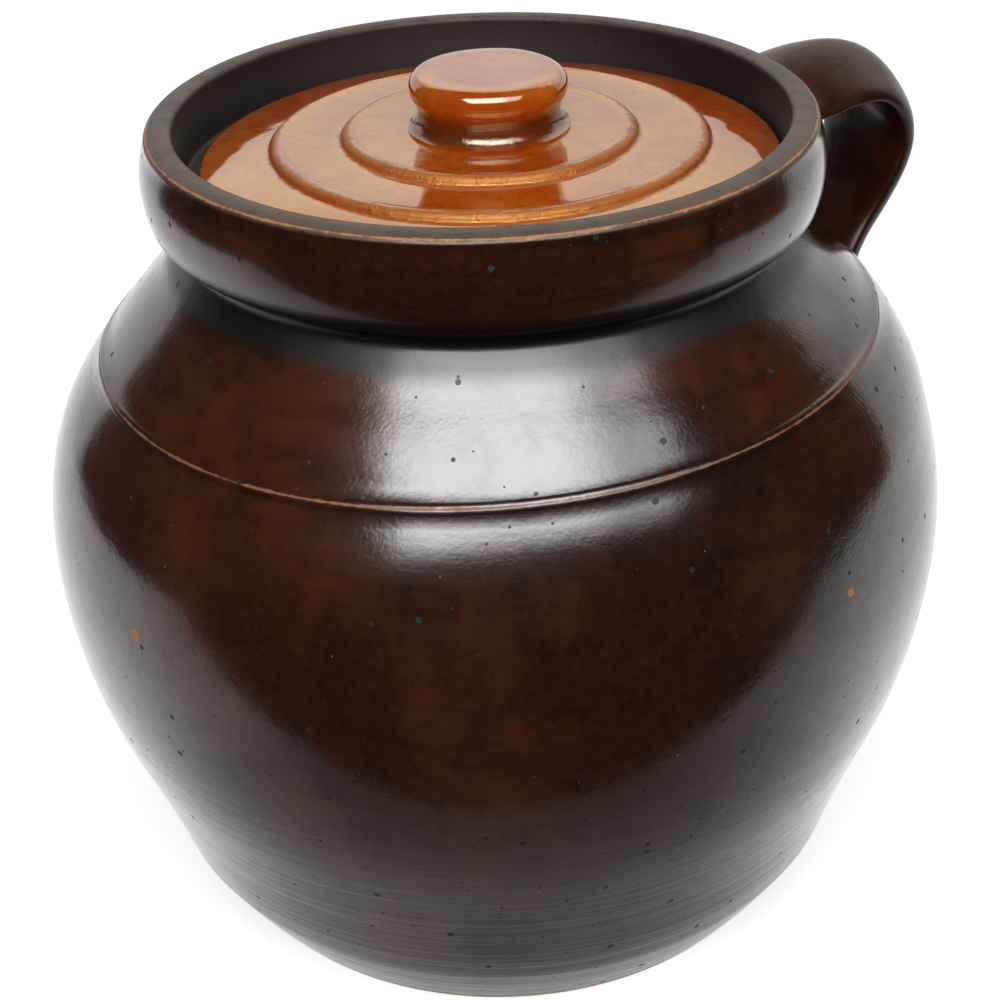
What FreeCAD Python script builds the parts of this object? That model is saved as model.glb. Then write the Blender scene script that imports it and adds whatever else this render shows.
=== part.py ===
import FreeCAD, Part
import os
from math import acos, atan2, ceil, cos, hypot, pi, radians, sin, sqrt, tan

# Stoneware bean pot with a loose inset lid. Lengths are in millimetres and angles in degrees.
# The origin is the centre of the foot on the pot's own axis, with +Z up and the strap handle towards +X.

FINENESS = 0.18              # how near the straight facets of an outline keep to its arcs
INSIDE_FINENESS = 0.4        # and inside the belly

# Pot, main sizes
RIM_HEIGHT = 200.0           # outer edge of the rim above the table
RIM_RADIUS = 76.0            # outer edge of the rim, where the glaze has worn
BELLY_RADIUS = 109.2         # widest part of the pot
BELLY_HEIGHT = 98.0
FOOT_RADIUS = 74.8           # outer edge of the foot ring
FOOT_WIDTH = 8.0             # width of the ring that touches the table
FOOT_RECESS = 2.2            # depth of the hollow turned under the base

# Pot, wall and shoulder
HEEL_OUT, HEEL_UP = 3.6, 5.0                  # the rounded heel sets out from the foot through this point
HEEL_RADIUS, HEEL_HEIGHT = 88.0, 20.0         # top of the heel
LOWER_RADIUS, LOWER_HEIGHT = 99.8, 53.0       # the wall between heel and belly
HEEL_HEADING = 52.0          # steepness of the outline where it leaves the foot
WALL_HEADING = 72.0          # and at the top of the heel
SHOULDER_HEADING = 129.0     # and just above the raised line
UPPER_RADIUS = 103.4         # the wall between belly and shoulder
UPPER_DOWN = 18.9            # and how far below the raised line that is
RIDGE_RADIUS = 91.7          # fine raised line round the shoulder
RIDGE_DOWN = 12.1            # how far it lies below the middle of the shoulder
RIDGE_PROUD = 0.5            # how far it stands out
RIDGE_BREADTH = 1.8
SHOULDER_RADIUS = 80.4       # middle of the shoulder's slope
SHOULDER_DOWN = 11.7         # and how far below the groove that is
WALL = 7.6                   # wall of the belly
FLOOR = 9.5                  # thickness of the base inside the foot
FLOOR_CORNER = 15.0          # breadth of the curve from the floor into the wall
CORNER_HEIGHT = 15.0         # and how high it goes above the table

# Collar, measured out from and down from the rim's outer edge
COLLAR_BULGE_OUT, COLLAR_BULGE_DOWN = 2.2, 9.5      # widest part of the outer face
COLLAR_FOOT_OUT, COLLAR_FOOT_DOWN = 0.8, 18.6       # where the outer face turns under
NECK_IN, NECK_DOWN = 5.2, 24.6                      # bottom of the groove under the collar
NECK_FILLET = 3.0
COLLAR_UNDERCUT = 3.9        # how far out the groove's fillet runs under the collar
RIM_WIDTH = 5.7              # top of the rim, from outer edge to inner edge
RIM_CROWN = 0.9              # height of the rim's rounded top above its outer edge
RIM_ROUND = 1.0
NECK_RADIUS = RIM_RADIUS - NECK_IN
NECK_HEIGHT = RIM_HEIGHT - NECK_DOWN
SHOULDER_HEIGHT = NECK_HEIGHT - SHOULDER_DOWN
RIDGE_HEIGHT = SHOULDER_HEIGHT - RIDGE_DOWN
UPPER_HEIGHT = RIDGE_HEIGHT - UPPER_DOWN
COLLAR_BULGE = RIM_RADIUS + COLLAR_BULGE_OUT
COLLAR_BULGE_HEIGHT = RIM_HEIGHT - COLLAR_BULGE_DOWN

# Gallery and throat, measured in from and down from the rim
GALLERY_WALL = 7.0           # from the rim's outer edge in to the wall round the ledge
GALLERY_DEPTH = 13.0         # from the rim's outer edge down to the ledge that carries the lid
LEDGE_WIDTH = 8.5
THROAT_ROUND = 1.4
THROAT_LENGTH = 8.0
THROAT_FLARE, THROAT_FLARE_LENGTH = 2.7, 7.0        # how the throat opens into the belly
GALLERY_RADIUS = RIM_RADIUS - GALLERY_WALL
GALLERY_HEIGHT = RIM_HEIGHT - GALLERY_DEPTH
THROAT_RADIUS = GALLERY_RADIUS - LEDGE_WIDTH

# Lid, with its heights above the ledge
LID_CLEARANCE = 2.2          # gap all round between lid and gallery wall
LID_EDGE = 3.6               # thickness at the outer edge
LID_EDGE_ROUND = 1.0
LID_SEAT_WIDTH = 8.0         # flat ring under the lid that lies on the ledge
LID_HOLLOW = 2.4             # depth of the hollow under the lid
OUTER_BAND = 17.2            # breadth of the sloping band outside the lower ring
MIDDLE_BAND = 16.4           # from the lower ring to the upper ring
LOWER_RING_UP = 7.8          # height of the disc inside the lower ring
UPPER_RING_UP = 9.6          # height of the disc inside the upper ring
MIDDLE_RISE = 0.1            # how far the disc between the rings rises towards the upper one
STEP_RISE = 1.6              # height of each ring step
STEP_RUN = 1.5               # breadth of each ring step
BRIM = 0.35                  # how far the edge of each step stands above its flat
BRIM_WIDTH = 3.4
LID_SHIFT = 1.8              # the lid lies a little to one side in its gallery
LID_SHIFT_ANGLE = -30.0
LID_RADIUS = GALLERY_RADIUS - LID_CLEARANCE
OUTER_STEP_RADIUS = LID_RADIUS - OUTER_BAND
INNER_STEP_RADIUS = OUTER_STEP_RADIUS - MIDDLE_BAND
OUTER_STEP_HEIGHT = GALLERY_HEIGHT + LOWER_RING_UP
INNER_STEP_HEIGHT = GALLERY_HEIGHT + UPPER_RING_UP

# Knob, with its heights one above the other from the lid's middle disc
KNOB_RADIUS = 18.3           # widest part of the cap
KNOB_FOOT_OUT = 0.3          # how far the luting at its foot stands out beyond the cap
KNOB_FOOT_EDGE = 0.5
KNOB_WAIST_IN = 2.0          # how far the waist lies in from the cap
KNOB_WAIST_UP = 3.6          # from the luting's edge up to the waist
KNOB_NECK = 2.9              # from the waist up to the underside of the cap
KNOB_SIDE = 2.6              # from the underside up to the widest part
KNOB_CROWN = 3.7             # from the widest part up to the top
KNOB_DISH = 0.3              # how far the middle of the top lies below its edge
KNOB_EDGE = 3.0              # breadth of the cap's rounded upper edge

# Handle: a pulled strap, thick in the middle and thin at its edges
STRAP_EDGE = 4.0             # thickness along both edges
STRAP_SECTIONS = 11          # cross sections along the strap
STRAP_FACES = 8              # faces across the crown
EDGE_FACES = 4               # faces round each edge
# The line of the strap: out from the collar's face and the rim, then on to the wall below the shoulder
FROM_COLLAR = [(-8.2, -13.4), (5.8, -8.7), (21.3, -7.4), (32.6, -11.8)]
FROM_WALL = [(11.6, 45.7), (8.8, 29.9), (1.0, 17.9), (-8.4, 8.3)]
STRAP_WIDTHS = [(0.0, 44.0), (0.18, 39.0), (0.5, 27.5), (0.8, 25.0), (1.0, 31.0)]
STRAP_CROWNS = [(0.0, 4.0), (0.3, 4.6), (0.55, 6.6), (0.8, 6.2), (1.0, 6.4)]
STRAP_HOLLOW = 0.16          # inner face bows in by this share of the crown


def vec(r, z):
    return FreeCAD.Vector(r, 0, z)


def line(a, b):
    return Part.LineSegment(vec(*a), vec(*b)).toShape()


def arc_points(a, m, b, fineness):
    """Points along the arc from a through m to b, so close that their chords stay within fineness of it."""
    (ax, ay), (mx, my), (bx, by) = a, m, b
    d = 2 * (ax * (my - by) + mx * (by - ay) + bx * (ay - my))
    if abs(d) < 1e-6:
        return [a, b]
    a2, m2, b2 = ax * ax + ay * ay, mx * mx + my * my, bx * bx + by * by
    cx = (a2 * (my - by) + m2 * (by - ay) + b2 * (ay - my)) / d
    cy = (a2 * (bx - mx) + m2 * (ax - bx) + b2 * (mx - ax)) / d
    r = hypot(ax - cx, ay - cy)
    start, end = atan2(ay - cy, ax - cx), atan2(by - cy, bx - cx)
    sweep = (end - start) % (2 * pi)
    if (mx - ax) * (by - ay) - (my - ay) * (bx - ax) < 0:
        sweep -= 2 * pi
    count = max(1, ceil(abs(sweep) / (2 * acos(1 - min(fineness / r, 1)))))
    inner = [start + sweep * i / count for i in range(1, count)]
    return [a] + [(cx + r * cos(t), cy + r * sin(t)) for t in inner] + [b]


def arc(a, m, b, fineness=FINENESS):
    points = arc_points(a, m, b, fineness)
    return [line(p, q) for p, q in zip(points, points[1:])]


def arcs(points, heading, fineness=FINENESS):
    """A run of tangent arcs through points, the first one setting out at the heading, in degrees above +X."""
    edges = []
    turn = radians(heading)
    for (r0, z0), (r1, z1) in zip(points, points[1:]):
        chord = atan2(z1 - z0, r1 - r0)
        bend = (turn - chord + pi) % (2 * pi) - pi
        rise = hypot(r1 - r0, z1 - z0) / 2 * tan(bend / 2)
        middle = ((r0 + r1) / 2 - rise * sin(chord), (z0 + z1) / 2 + rise * cos(chord))
        edges += arc((r0, z0), middle, (r1, z1), fineness)
        turn = chord - bend
    return edges


def turned(edges):
    """The solid that a closed outline in the XZ plane makes when it turns once round the Z axis."""
    face = Part.Face(Part.Wire(edges))
    solid = face.revolve(FreeCAD.Vector(0, 0, 0), FreeCAD.Vector(0, 0, 1), 360)
    return Part.Solid(solid.Shells[0]) if solid.ShapeType != "Solid" else solid


def blend(table, s):
    """The value at s of a table of (place, value), eased between its places."""
    for (s0, v0), (s1, v1) in zip(table, table[1:]):
        if s <= s1:
            t = (s - s0) / (s1 - s0)
            return v0 + (v1 - v0) * t * t * (3 - 2 * t)
    return table[-1][1]


def pot_outside():
    """Outline of the pot's outside, from the foot ring's outer edge up to the rim's inner edge."""
    heel = (HEEL_RADIUS, HEEL_HEIGHT)
    ridge_low = (RIDGE_RADIUS + 0.6 * RIDGE_BREADTH, RIDGE_HEIGHT - 0.6 * RIDGE_BREADTH)
    ridge_top = (RIDGE_RADIUS + 0.7 * RIDGE_PROUD, RIDGE_HEIGHT + 0.7 * RIDGE_PROUD)
    ridge_high = (RIDGE_RADIUS - 0.55 * RIDGE_BREADTH, RIDGE_HEIGHT + 0.7 * RIDGE_BREADTH)
    groove_low = (NECK_RADIUS + 0.9, NECK_HEIGHT - NECK_FILLET * 0.75)
    groove_high = (NECK_RADIUS + 1.3, NECK_HEIGHT + NECK_FILLET * 0.75)
    undercut = (NECK_RADIUS + COLLAR_UNDERCUT, NECK_HEIGHT + NECK_FILLET * 1.15)
    collar_foot = (RIM_RADIUS + COLLAR_FOOT_OUT, RIM_HEIGHT - COLLAR_FOOT_DOWN)
    bulge = (COLLAR_BULGE, COLLAR_BULGE_HEIGHT)
    rim_side = (RIM_RADIUS + 0.5, RIM_HEIGHT - RIM_ROUND * 1.3)
    rim_edge = (RIM_RADIUS, RIM_HEIGHT)
    rim_out = (RIM_RADIUS - RIM_ROUND, RIM_HEIGHT + 0.45)
    rim_mid = (RIM_RADIUS - RIM_WIDTH * 0.5, RIM_HEIGHT + RIM_CROWN)
    rim_in = (RIM_RADIUS - RIM_WIDTH + RIM_ROUND * 0.6, RIM_HEIGHT + RIM_CROWN * 0.85)
    low = [(FOOT_RADIUS, 0), (FOOT_RADIUS + HEEL_OUT, HEEL_UP), heel]
    wall = [heel, (LOWER_RADIUS, LOWER_HEIGHT), (BELLY_RADIUS, BELLY_HEIGHT)]
    wall += [(UPPER_RADIUS, UPPER_HEIGHT), ridge_low]
    shoulder = [ridge_high, (SHOULDER_RADIUS, SHOULDER_HEIGHT), groove_low]
    edges = arcs(low, HEEL_HEADING) + arcs(wall, WALL_HEADING)
    edges += arc(ridge_low, ridge_top, ridge_high) + arcs(shoulder, SHOULDER_HEADING)
    edges += arc(groove_low, (NECK_RADIUS, NECK_HEIGHT), groove_high)
    edges += arc(groove_high, undercut, collar_foot)
    edges += arc(collar_foot, bulge, rim_side) + arc(rim_side, rim_edge, rim_out)
    return edges + arc(rim_out, rim_mid, rim_in)


def pot_inside():
    """Outline of the pot's inside, from the rim's inner edge down to the middle of the floor."""
    rim_in = (RIM_RADIUS - RIM_WIDTH + RIM_ROUND * 0.6, RIM_HEIGHT + RIM_CROWN * 0.85)
    rim_turn = (RIM_RADIUS - RIM_WIDTH, RIM_HEIGHT + 0.4)
    rim_low = (RIM_RADIUS - RIM_WIDTH - 0.25, RIM_HEIGHT - 0.8)
    corner = (GALLERY_RADIUS, GALLERY_HEIGHT + 1.2)
    corner_mid = (GALLERY_RADIUS - 0.35, GALLERY_HEIGHT + 0.35)
    ledge_out = (GALLERY_RADIUS - 1.2, GALLERY_HEIGHT)
    ledge_in = (THROAT_RADIUS + THROAT_ROUND, GALLERY_HEIGHT)
    lip = (THROAT_RADIUS + THROAT_ROUND * (1 - sqrt(0.5)), GALLERY_HEIGHT - THROAT_ROUND * (1 - sqrt(0.5)))
    throat_high = (THROAT_RADIUS, GALLERY_HEIGHT - THROAT_ROUND)
    throat_low = (THROAT_RADIUS, GALLERY_HEIGHT - THROAT_ROUND - THROAT_LENGTH)
    wall = [
        throat_low,
        (THROAT_RADIUS + THROAT_FLARE, throat_low[1] - THROAT_FLARE_LENGTH),
        (RIDGE_RADIUS - WALL * 1.15, RIDGE_HEIGHT - WALL * 0.1),
        (UPPER_RADIUS - WALL * 0.9, UPPER_HEIGHT - WALL * 0.35),
        (BELLY_RADIUS - WALL, BELLY_HEIGHT + WALL * 0.4),
        (LOWER_RADIUS - WALL * 0.88, LOWER_HEIGHT + WALL * 0.25),
        (HEEL_RADIUS - WALL * 1.05, HEEL_HEIGHT + WALL * 0.6),
        (HEEL_RADIUS - WALL * 1.9, CORNER_HEIGHT),
        (HEEL_RADIUS - WALL - FLOOR_CORNER * 1.31, FLOOR),
    ]
    edges = arc(rim_in, rim_turn, rim_low) + [line(rim_low, corner)]
    edges += arc(corner, corner_mid, ledge_out) + [line(ledge_out, ledge_in)]
    edges += arc(ledge_in, lip, throat_high) + [line(throat_high, throat_low)]
    return edges + arcs(wall, -90.0, INSIDE_FINENESS) + [line(wall[-1], (0, FLOOR))]


def pot_base():
    """Outline of the base, from the middle of the floor down and out to the foot ring's outer edge."""
    ring = FOOT_RADIUS - FOOT_WIDTH
    hollow = (ring - FOOT_RECESS, FOOT_RECESS)
    return [
        line((0, FLOOR), (0, FOOT_RECESS)),
        line((0, FOOT_RECESS), hollow),
        line(hollow, (ring, 0)),
        line((ring, 0), (FOOT_RADIUS, 0)),
    ]


def make_pot_body():
    return turned(pot_outside() + pot_inside() + pot_base())


def step_outline(radius, height, low_height):
    """One ring step of the lid, from the flat outside it up to the flat inside it."""
    outline = [
        (radius + STEP_RUN, low_height),
        (radius + STEP_RUN * 0.5, low_height + STEP_RISE * 0.34),
        (radius - BRIM_WIDTH * 0.26, height + BRIM * 0.75),
        (radius - BRIM_WIDTH * 0.62, height + BRIM * 0.5),
        (radius - BRIM_WIDTH, height),
    ]
    return arcs(outline, 180.0), outline[0], outline[-1]


def make_lid():
    seat_out = (LID_RADIUS - LID_EDGE_ROUND, GALLERY_HEIGHT)
    edge_low = (LID_RADIUS, GALLERY_HEIGHT + LID_EDGE_ROUND)
    edge_high = (LID_RADIUS - 0.2, GALLERY_HEIGHT + LID_EDGE - LID_EDGE_ROUND)
    edge_in = (LID_RADIUS - 0.3 - LID_EDGE_ROUND, GALLERY_HEIGHT + LID_EDGE)
    band_height = OUTER_STEP_HEIGHT - STEP_RISE
    outer, outer_foot, outer_flat = step_outline(OUTER_STEP_RADIUS, OUTER_STEP_HEIGHT, band_height)
    ring_height = OUTER_STEP_HEIGHT + MIDDLE_RISE
    inner, inner_foot, inner_flat = step_outline(INNER_STEP_RADIUS, INNER_STEP_HEIGHT, ring_height)
    rise = band_height - GALLERY_HEIGHT - LID_EDGE
    band_mid = ((edge_in[0] + outer_foot[0]) / 2, edge_in[1] + rise * 0.62)
    seat_in = LID_RADIUS - LID_EDGE_ROUND - LID_SEAT_WIDTH
    hollow = (seat_in - LID_HOLLOW, GALLERY_HEIGHT + LID_HOLLOW)
    edges = arc(seat_out, (LID_RADIUS - 0.3, GALLERY_HEIGHT + 0.3), edge_low) + [line(edge_low, edge_high)]
    edges += arc(edge_high, (LID_RADIUS - 0.55, GALLERY_HEIGHT + LID_EDGE - 0.3), edge_in)
    edges += arc(edge_in, band_mid, outer_foot)
    edges += outer + [line(outer_flat, inner_foot)] + inner
    edges += [
        line(inner_flat, (0, INNER_STEP_HEIGHT)),
        line((0, INNER_STEP_HEIGHT), (0, hollow[1])),
        line((0, hollow[1]), hollow),
        line(hollow, (seat_in, GALLERY_HEIGHT)),
        line((seat_in, GALLERY_HEIGHT), seat_out),
    ]
    return shifted(turned(edges))


def make_lid_knob():
    disc = INNER_STEP_HEIGHT
    luting = KNOB_RADIUS + KNOB_FOOT_OUT
    narrow = KNOB_RADIUS - KNOB_WAIST_IN
    waist_height = disc + KNOB_FOOT_EDGE + KNOB_WAIST_UP
    under_height = waist_height + KNOB_NECK
    widest_height = under_height + KNOB_SIDE
    top_height = widest_height + KNOB_CROWN
    foot, flare, waist = (luting, disc), (luting, disc + KNOB_FOOT_EDGE), (narrow, waist_height)
    under = (KNOB_RADIUS - KNOB_WAIST_IN * 0.35, under_height)
    widest = (KNOB_RADIUS, widest_height)
    top = (KNOB_RADIUS - KNOB_EDGE, top_height)
    turn = (KNOB_RADIUS - KNOB_EDGE * 0.27, top_height - KNOB_CROWN * 0.34)
    dish = (KNOB_RADIUS * 0.35, top_height - KNOB_DISH)
    edges = [line(foot, flare)]
    edges += arc(flare, (narrow + KNOB_WAIST_IN * 0.33, disc + KNOB_FOOT_EDGE + KNOB_WAIST_UP * 0.33), waist)
    edges += arc(waist, (narrow + KNOB_WAIST_IN * 0.22, waist_height + KNOB_NECK * 0.52), under)
    edges += arc(under, (KNOB_RADIUS - KNOB_WAIST_IN * 0.06, (under_height + widest_height) / 2), widest)
    edges += arc(widest, turn, top)
    edges += [
        line(top, dish),
        line(dish, (0, dish[1])),
        line((0, dish[1]), (0, disc)),
        line((0, disc), foot),
    ]
    return shifted(turned(edges))


def shifted(shape):
    """The lid and its knob moved to where they lie in the gallery."""
    a = radians(LID_SHIFT_ANGLE)
    shape.translate(FreeCAD.Vector(LID_SHIFT * cos(a), LID_SHIFT * sin(a), 0))
    return shape


def strap_section(centre, along, width, crown):
    """A cross section of the strap: a crowned outer face, round edges and a nearly flat inner face."""
    out = FreeCAD.Vector(-along.z, 0, along.x)
    side = FreeCAD.Vector(0, 1, 0)
    half, edge, inner = width / 2, STRAP_EDGE / 2, crown * STRAP_HOLLOW
    flat = half - edge
    def at(y, lift):
        return centre + side * y + out * lift
    points = []
    for i in range(STRAP_FACES + 1):
        u = 2 * i / STRAP_FACES - 1
        points.append(at(u * flat, edge + crown * (1 - u * u)))
    for i in range(1, EDGE_FACES):
        t = pi / 2 - pi * i / EDGE_FACES
        points.append(at(flat + edge * cos(t), edge * sin(t)))
    points += [at(flat, -edge), at(0, -edge - inner), at(-flat, -edge)]
    for i in range(1, EDGE_FACES):
        t = -pi / 2 - pi * i / EDGE_FACES
        points.append(at(-flat + edge * cos(t), edge * sin(t)))
    return Part.makePolygon(points + [points[0]])


def make_handle():
    """The strap, lofted along its path and trimmed to the collar and shoulder that it is pressed on to."""
    path = Part.BSplineCurve()
    points = [(COLLAR_BULGE + r, RIM_HEIGHT + z) for r, z in FROM_COLLAR]
    points += [(UPPER_RADIUS + r, UPPER_HEIGHT + z) for r, z in FROM_WALL]
    path.interpolate([vec(*p) for p in points])
    total = path.length()
    wires = []
    for i in range(STRAP_SECTIONS):
        s = i / (STRAP_SECTIONS - 1)
        u = path.parameterAtDistance(total * s, path.FirstParameter)
        width, crown = blend(STRAP_WIDTHS, s), blend(STRAP_CROWNS, s)
        wires.append(strap_section(path.value(u), path.tangent(u)[0], width, crown))
    strap = Part.makeLoft(wires, True, False)
    core = turned(pot_outside() + mouth_closed() + pot_base()[1:])
    pieces = strap.cut(core).Solids
    return max(pieces, key=lambda piece: piece.Volume)


def mouth_closed():
    """Closes the pot's outline over the mouth and down its axis."""
    rim_in = (RIM_RADIUS - RIM_WIDTH + RIM_ROUND * 0.6, RIM_HEIGHT + RIM_CROWN * 0.85)
    return [line(rim_in, (0, RIM_HEIGHT)), line((0, RIM_HEIGHT), (0, FOOT_RECESS))]


def main():
    os.makedirs("parts", exist_ok=True)
    nodes = {
        "pot_body": make_pot_body(),
        "handle": make_handle(),
        "lid": make_lid(),
        "lid_knob": make_lid_knob(),
    }
    for name, shape in nodes.items():
        shape.exportStep("parts/" + name + ".step")
        box = shape.BoundBox
        size = [round(length, 1) for length in (box.XLength, box.YLength, box.ZLength)]
        print(name, shape.isValid(), "%.1f cm3" % (shape.Volume / 1000), "faces", len(shape.Faces), size)


main()
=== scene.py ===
from math import acos, atan2, ceil, cos, hypot, pi, radians, sin, tan

import bmesh
import bpy
from mathutils import Matrix, Vector


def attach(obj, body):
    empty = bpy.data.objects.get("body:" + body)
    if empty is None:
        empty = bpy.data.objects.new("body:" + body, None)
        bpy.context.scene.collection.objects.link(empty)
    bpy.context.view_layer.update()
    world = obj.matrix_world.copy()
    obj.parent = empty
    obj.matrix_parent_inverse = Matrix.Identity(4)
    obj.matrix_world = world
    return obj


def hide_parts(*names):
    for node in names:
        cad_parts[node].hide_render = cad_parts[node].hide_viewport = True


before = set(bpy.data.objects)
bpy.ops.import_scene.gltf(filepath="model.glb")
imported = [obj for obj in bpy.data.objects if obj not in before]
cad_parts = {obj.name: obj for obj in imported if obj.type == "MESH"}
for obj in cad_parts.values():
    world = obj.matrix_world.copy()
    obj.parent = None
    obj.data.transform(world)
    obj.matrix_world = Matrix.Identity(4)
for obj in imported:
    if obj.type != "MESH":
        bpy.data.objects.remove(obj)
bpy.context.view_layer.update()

bl_info = {
    "name": "Bean pot",
    "version": (1, 0, 0),
    "blender": (4, 5, 0),
    "location": "View3D > Sidebar > Bean pot",
    "description": "Models a thrown stoneware bean pot with a strap handle and a loose inset lid",
    "category": "Add Mesh",
}

MM = 0.001
FINE, FINER, FINEST = 0.02 * MM, 0.01 * MM, 0.008 * MM  # how far the steps of an outline leave its arcs
WHEEL_CENTRE = (0, 0)
SHOULDER_RADIUS = 0.092  # of the line round the shoulder
SHOULDER_DEPTH = 0.081  # from that line down to the middle of the shoulder's round
LID_STEP, LID_TOP = 0.0036, 0.0096  # the lid's edge and its top above the ledge
FLAKE, FLAKE_SIZE = (-0.1058, -0.0246, 0.1096), 0.0016
SCAR, SCAR_SIZE = (0.0278, -0.1041, 0.1157), 0.0011
RING_WEAR = 0.0021  # breadth of the wear along the lid's rings
AIM = (0, 0, 0.13)  # the point of the pot that the lights face
# the room and what the glaze mirrors of it, with a shaded grey painted on the floor in front of the pot
COOL, WARM, WHITE = (0.96, 0.97, 1.0, 1), (1.0, 0.95, 0.68, 1), (1, 1, 1, 1)
PALE, SHADED, DARK = (0.8, 0.8, 0.8, 1), (0.28, 0.28, 0.28, 1), (0.02, 0.02, 0.02, 1)
NIGHT = (0.9, 0.95, 1.0, 1)
# gloss and stains of the glazes, and colours of painted shade in the neck and knob waist and of a painted reflection
# at the ring feet
LID_SHEEN, KNOB_SHEEN = (1.0, 0.95, 0.28, 1), (1.0, 0.97, 0.7, 1)
PAINTED_NECK_SHADE, PIT, DUST = (0.002, 0.0015, 0.001, 1), (0.003, 0.003, 0.004, 1), (0.06, 0.035, 0.022, 1)
GRIT, DAMP_CLAY, BURNT = (0.28, 0.2, 0.13, 1), (0.2, 0.13, 0.08, 1), (0.2, 0.035, 0.004, 1)
PAINTED_RING_FOOT_REFLECTION, PAINTED_WAIST_SHADE, AMBER_PIT = (0.3, 0.17, 0.13, 1), (0.03, 0.006, 0.0016, 1), (0.05, 0.012, 0.003, 1)


def a_length(name, description, default):
    """A size that can be changed in the panel."""
    return bpy.props.FloatProperty(name=name, description=description, default=default, unit="LENGTH")


def a_colour(name, description, default):
    """A colour that can be changed in the panel."""
    return bpy.props.FloatVectorProperty(name=name, description=description, default=default, size=3, subtype="COLOR")


def an_angle(name, description, degrees):
    """An angle that can be changed in the panel."""
    return bpy.props.FloatProperty(name=name, description=description, default=radians(degrees), subtype="ANGLE")


def a_number(name, description, default, **unit):
    """A brightness that can be changed in the panel."""
    return bpy.props.FloatProperty(name=name, description=description, default=default, **unit)


class PotSizes(bpy.types.PropertyGroup):
    """Sizes of the thrown pot, as in the frame."""
    rim_height: a_length("Rim height", "Outer edge of the rim above the table", 0.2)
    rim_radius: a_length("Rim radius", "Outer edge of the rim", 0.076)
    rim_width: a_length("Rim width", "Top of the rim from edge to edge", 0.0057)
    belly_radius: a_length("Belly radius", "Widest part of the pot", 0.1092)
    belly_height: a_length("Belly height", "Height of the widest part", 0.098)
    foot_radius: a_length("Foot radius", "Outer edge of the foot ring", 0.0748)
    ridge_height: a_length("Shoulder line", "Height of the raised line round the shoulder", 0.1516)
    ledge_height: a_length("Ledge height", "Ledge that carries the lid", 0.187)
    ledge_radius: a_length("Ledge radius", "Wall round the ledge", 0.069)
    throat_radius: a_length("Throat radius", "Opening below the ledge", 0.0605)
    lean: a_length("Lean", "How far the thrown shoulder runs off the wheel's centre", 0.0024)
    line_tilt: bpy.props.FloatVectorProperty(
        name="Line tilt", description="Rise of the shoulder line to the camera's right, and its fall to the front",
        default=(0.0032, 0.0018), size=2, unit="LENGTH",
    )
    unevenness: a_length("Unevenness", "Waviness left by the potter's hands", 0.0005)
    segments: bpy.props.IntProperty(name="Segments", description="Steps round the wheel", default=224, min=24, max=320)


class HandleSizes(bpy.types.PropertyGroup):
    """Sizes of the pulled strap handle."""
    edge: a_length("Edge", "Thickness along both edges of the strap", 0.004)
    flare: a_length("Flare", "How far each root spreads on to the pot", 0.0045)
    droop: a_length("Droop", "How far both edges of the strap hang down over its top bend", 0.0045)


class LidSizes(bpy.types.PropertyGroup):
    """Sizes of the lid and its knob."""
    clearance: a_length("Clearance", "Gap between the lid and the wall round it", 0.0022)
    outer_step: a_length("Outer ring", "Radius of the lower ring step", 0.0496)
    inner_step: a_length("Inner ring", "Radius of the upper ring step", 0.0332)
    knob_radius: a_length("Knob radius", "Widest part of the knob", 0.0183)
    knob_top: a_length("Knob top", "Top of the knob above the table", 0.2099)
    shift: a_length("Shift", "How far the lid lies to one side", 0.0018)
    shift_angle: an_angle("Shift direction", "Direction in which the lid lies off centre", -30)


class Finishes(bpy.types.PropertyGroup):
    """Colours of the two glazes and the bare clay."""
    brown: a_colour("Brown", "Body of the dark slip glaze", (0.0225, 0.0054, 0.0012))
    russet: a_colour("Russet", "Where the dark glaze breaks thinner", (0.056, 0.015, 0.0034))
    black: a_colour("Black", "Where the dark glaze pools", (0.006, 0.0032, 0.0024))
    amber: a_colour("Amber", "Body of the lid's glaze", (0.38, 0.059, 0.004))
    honey: a_colour("Honey", "Where the amber glaze lies thin", (0.48, 0.135, 0.01))
    rust: a_colour("Rust", "Breaks on the lid's raised rings", (0.25, 0.048, 0.012))
    tan: a_colour("Tan", "Clay showing through worn edges", (0.42, 0.17, 0.062))
    clay: a_colour("Clay", "Bare stoneware of the foot", (0.42, 0.31, 0.21))


class Studio(bpy.types.PropertyGroup):
    """Camera and lights."""
    view_turn: an_angle("View turn", "The camera's place round the pot", -29.8)
    light: a_number("Light", "Power of the soft light in front", 13.0, unit="POWER")
    window: a_number("Window", "Brightness of the window in the glaze", 17.0)
    backdrop: a_number("Backdrop", "Brightness of the backdrop in the glaze", 1.05)
    sky: a_number("Sky", "Strength of the soft light from all round", 0.4)


# Modelling helpers


def only(*things):
    """Selects these objects alone and makes the first one active."""
    if bpy.context.mode != "OBJECT":
        bpy.ops.object.mode_set(mode="OBJECT")
    bpy.ops.object.select_all(action="DESELECT")
    for thing in things:
        thing.select_set(True)
    bpy.context.view_layer.objects.active = things[0]


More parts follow.
